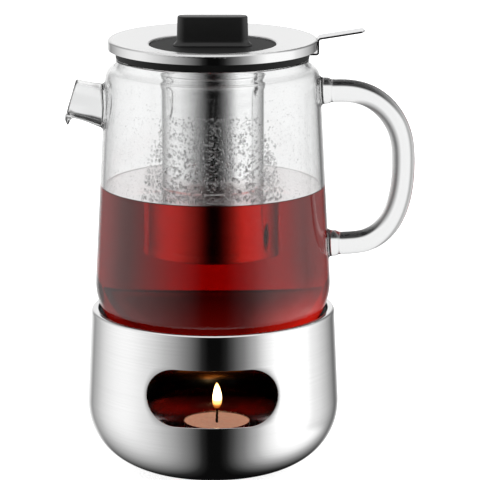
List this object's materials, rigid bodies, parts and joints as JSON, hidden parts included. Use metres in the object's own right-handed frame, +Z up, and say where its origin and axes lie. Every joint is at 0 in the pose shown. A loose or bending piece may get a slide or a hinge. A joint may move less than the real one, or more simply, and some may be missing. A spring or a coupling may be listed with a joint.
{
  "type": "glass teapot",
  "caption": "Glass teapot with spout, round-rod handle, lift-out strainer and flat steel lid with block knob, standing in a steel bowl warmer with a tealight window.",
  "frame": {"origin": "centre of the underside of the warmer's base pad, on the teapot's upright axis", "axes": "+Z up along the axis of the warmer and jug; +X towards the handle; the spout points to -X and the warmer's window faces -Y"},
  "size_m": [0.1941, 0.14, 0.2537],
  "materials": {
    "clear_glass": "clear blown borosilicate glass, polished",
    "satin_steel": "satin brushed stainless steel",
    "polished_steel": "polished stainless steel sheet",
    "mesh_steel": "stainless sheet with fine photo-etched holes",
    "black_plastic": "fine matte moulded black plastic",
    "black_silicone": "satin black silicone",
    "dark_pad": "matt non-slip rubber",
    "cup_aluminium": "thin pressed aluminium foil cup",
    "wax": "pinkish wax, molten around the wick",
    "wick_cotton": "charred cotton",
    "zinc_steel": "plain zinc-plated steel"
  },
  "bodies": {
    "warmer": {"base_pad": "dark_pad", "warmer_shell": "satin_steel", "pot_ring": "satin_steel", "ring_brackets": "satin_steel", "tealight_tray": "satin_steel"},
    "tealight": {"tealight_cup": "cup_aluminium", "tealight_wax": "wax", "wick": "wick_cotton", "wick_base": "zinc_steel"},
    "jug": {"glass_bottom": "clear_glass", "glass_body": "clear_glass", "spout": "clear_glass", "handle": "clear_glass"},
    "strainer": {"strainer_flange": "polished_steel", "strainer_sleeve": "polished_steel", "strainer_screen": "mesh_steel", "strainer_base": "polished_steel", "strainer_tab": "polished_steel", "strainer_collar": "black_silicone"},
    "lid": {"lid_cover": "polished_steel", "lid_insert": "black_plastic", "lid_knob": "black_plastic", "knob_plate": "zinc_steel", "knob_screws": "zinc_steel", "lid_liner": "polished_steel"}
  },
  "joints": [
    {"name": "jug_lift", "type": "slide", "parent": "warmer", "child": "jug", "axis": [0, 0, 1], "range_m": [0, 0.15]},
    {"name": "strainer_lift", "type": "slide", "parent": "jug", "child": "strainer", "axis": [0, 0, 1], "range_m": [0, 0.13]},
    {"name": "lid_lift", "type": "slide", "parent": "strainer", "child": "lid", "axis": [0, 0, 1], "range_m": [0, 0.1]},
    {"name": "tealight_lift", "type": "slide", "parent": "warmer", "child": "tealight", "axis": [0, 0, 1], "range_m": [0, 0.034]}
  ]
}
